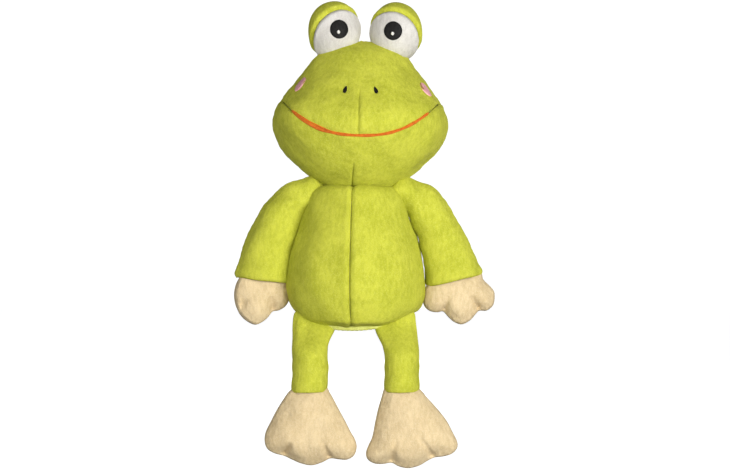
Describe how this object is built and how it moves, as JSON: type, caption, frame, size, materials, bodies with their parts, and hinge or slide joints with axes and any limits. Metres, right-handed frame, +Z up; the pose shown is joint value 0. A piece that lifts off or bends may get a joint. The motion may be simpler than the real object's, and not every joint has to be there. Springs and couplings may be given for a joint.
{
  "type": "hand puppet",
  "caption": "Plush frog hand puppet with a hand opening under the torso, a finger tube in the head, hanging arms and legs, bulging eyes and a stitched smile.",
  "frame": {"origin": "centre of the hand opening at the bottom of the torso", "axes": "+Z up through the head, the puppet faces -Y, +X to the puppet's own left"},
  "size_m": [0.2114, 0.1078, 0.3724],
  "materials": {
    "lime_plush": "matte",
    "cream_plush": "matte",
    "white_plush": "matte",
    "black_thread": "satin",
    "white_thread": "satin",
    "orange_thread": "satin",
    "pink_thread": "satin",
    "fibre_fill": "matte",
    "lining_tricot": "matte",
    "hem_binding": "matte"
  },
  "bodies": {
    "torso": {"torso_front_left_panel": "lime_plush", "torso_front_right_panel": "lime_plush", "torso_back_left_panel": "lime_plush", "torso_back_right_panel": "lime_plush", "torso_padding": "fibre_fill", "glove_lining": "lining_tricot", "hem_binding": "hem_binding"},
    "neck": {"neck_sleeve": "lime_plush"},
    "head": {"face_panel": "lime_plush", "chin_panel": "lime_plush", "head_back_left_panel": "lime_plush", "head_back_right_panel": "lime_plush", "head_stuffing": "fibre_fill", "head_finger_tube": "lining_tricot", "mouth_embroidery": "orange_thread", "nostril_left": "black_thread", "cheek_left_patch": "pink_thread", "eye_left_white_panel": "white_plush", "eye_left_lid_panel": "lime_plush", "eye_left_stuffing": "fibre_fill", "eye_left_pupil": "black_thread", "eye_left_glint": "white_thread", "nostril_right": "black_thread", "cheek_right_patch": "pink_thread", "eye_right_white_panel": "white_plush", "eye_right_lid_panel": "lime_plush", "eye_right_stuffing": "fibre_fill", "eye_right_pupil": "black_thread", "eye_right_glint": "white_thread"},
    "shoulder_left": {"arm_left_top_stuffing": "fibre_fill"},
    "arm_left": {"arm_left_sleeve_front_panel": "lime_plush", "arm_left_sleeve_back_panel": "lime_plush", "arm_left_stuffing": "fibre_fill"},
    "hand_left": {"hand_left_back_panel": "cream_plush", "hand_left_palm_panel": "cream_plush", "hand_left_stuffing": "fibre_fill"},
    "leg_left": {"leg_left_skin": "lime_plush", "leg_left_stuffing": "fibre_fill"},
    "foot_left": {"foot_left_top_panel": "cream_plush", "foot_left_sole_panel": "cream_plush", "foot_left_stuffing": "fibre_fill"},
    "shoulder_right": {"arm_right_top_stuffing": "fibre_fill"},
    "arm_right": {"arm_right_sleeve_front_panel": "lime_plush", "arm_right_sleeve_back_panel": "lime_plush", "arm_right_stuffing": "fibre_fill"},
    "hand_right": {"hand_right_back_panel": "cream_plush", "hand_right_palm_panel": "cream_plush", "hand_right_stuffing": "fibre_fill"},
    "leg_right": {"leg_right_skin": "lime_plush", "leg_right_stuffing": "fibre_fill"},
    "foot_right": {"foot_right_top_panel": "cream_plush", "foot_right_sole_panel": "cream_plush", "foot_right_stuffing": "fibre_fill"}
  },
  "joints": [
    {"name": "head_nod", "type": "hinge", "parent": "torso", "child": "neck", "pos_m": [0, -0.004, 0.11], "axis": [1, 0, 0], "range_deg": [-15, 18], "stiffness_Nm_per_rad": 0.4},
    {"name": "head_turn", "type": "hinge", "parent": "neck", "child": "head", "pos_m": [0, -0.004, 0.115], "axis": [0, 0, 1], "range_deg": [-40, 40], "stiffness_Nm_per_rad": 0.2},
    {"name": "shoulder_left_spread", "type": "hinge", "parent": "torso", "child": "shoulder_left", "pos_m": [0.046, -0.008, 0.106], "axis": [0, -1, 0], "range_deg": [0, 60]},
    {"name": "arm_left_raise", "type": "hinge", "parent": "shoulder_left", "child": "arm_left", "pos_m": [0.046, -0.008, 0.106], "axis": [-1, 0, 0], "range_deg": [-30, 75]},
    {"name": "hand_left_bend", "type": "hinge", "parent": "arm_left", "child": "hand_left", "pos_m": [0.08, -0.008, 0.037], "axis": [-1, 0, 0], "range_deg": [-35, 35], "stiffness_Nm_per_rad": 0.03},
    {"name": "shoulder_right_spread", "type": "hinge", "parent": "torso", "child": "shoulder_right", "pos_m": [-0.046, -0.008, 0.106], "axis": [0, 1, 0], "range_deg": [0, 60]},
    {"name": "arm_right_raise", "type": "hinge", "parent": "shoulder_right", "child": "arm_right", "pos_m": [-0.046, -0.008, 0.106], "axis": [-1, 0, 0], "range_deg": [-30, 75]},
    {"name": "hand_right_bend", "type": "hinge", "parent": "arm_right", "child": "hand_right", "pos_m": [-0.075, -0.008, 0.037], "axis": [-0.8387, -0.5446, 0], "range_deg": [-35, 8], "stiffness_Nm_per_rad": 0.03},
    {"name": "leg_left_swing", "type": "hinge", "parent": "torso", "child": "leg_left", "pos_m": [0.0368, -0.036, -0.009], "axis": [-1, 0, 0], "range_deg": [-30, 85]},
    {"name": "foot_left_bend", "type": "hinge", "parent": "leg_left", "child": "foot_left", "pos_m": [0.0368, -0.036, -0.049], "axis": [-1, 0, 0], "range_deg": [-35, 35], "stiffness_Nm_per_rad": 0.03},
    {"name": "leg_right_swing", "type": "hinge", "parent": "torso", "child": "leg_right", "pos_m": [-0.0368, -0.036, -0.009], "axis": [-1, 0, 0], "range_deg": [-30, 85]},
    {"name": "foot_right_bend", "type": "hinge", "parent": "leg_right", "child": "foot_right", "pos_m": [-0.0368, -0.036, -0.049], "axis": [-1, 0, 0], "range_deg": [-35, 35], "stiffness_Nm_per_rad": 0.03}
  ]
}
